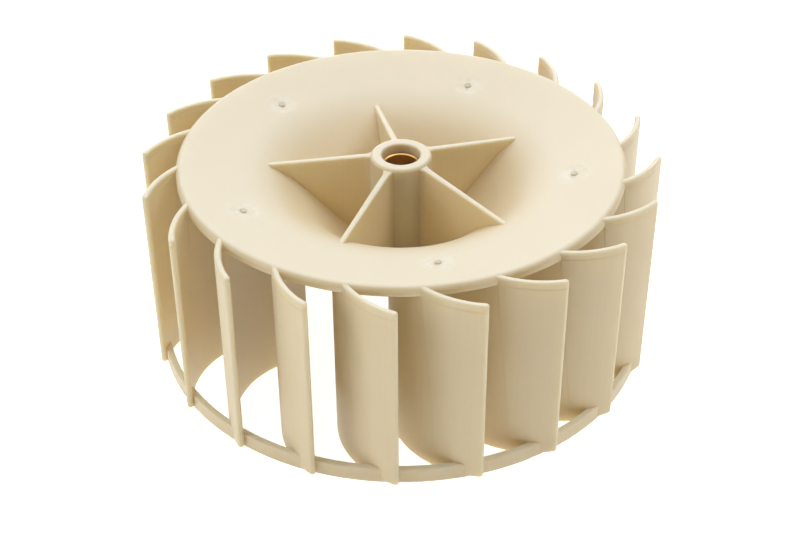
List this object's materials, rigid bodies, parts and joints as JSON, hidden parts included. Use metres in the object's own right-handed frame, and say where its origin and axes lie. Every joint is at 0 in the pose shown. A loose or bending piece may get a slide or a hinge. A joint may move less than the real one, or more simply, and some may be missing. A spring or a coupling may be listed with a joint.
{
  "type": "dryer blower wheel",
  "caption": "Moulded centrifugal blower wheel: a dished disk with a webbed hub and metal bush, over a cage of curved blades tied by a ring.",
  "frame": {"origin": "on the wheel's axis at the foot of the ring, the centre of its base", "axes": "Z is the wheel's axis and points from the ring to the hub's mouth; X and Y lie in the plane of the ring"},
  "size_m": [0.1942, 0.1942, 0.0773],
  "materials": {
    "wheel_plastic": "satin, as moulded",
    "bush_brass": "turned"
  },
  "bodies": {
    "root": {"blower_wheel": "wheel_plastic", "shaft_bush": "bush_brass"}
  },
  "joints": []
}
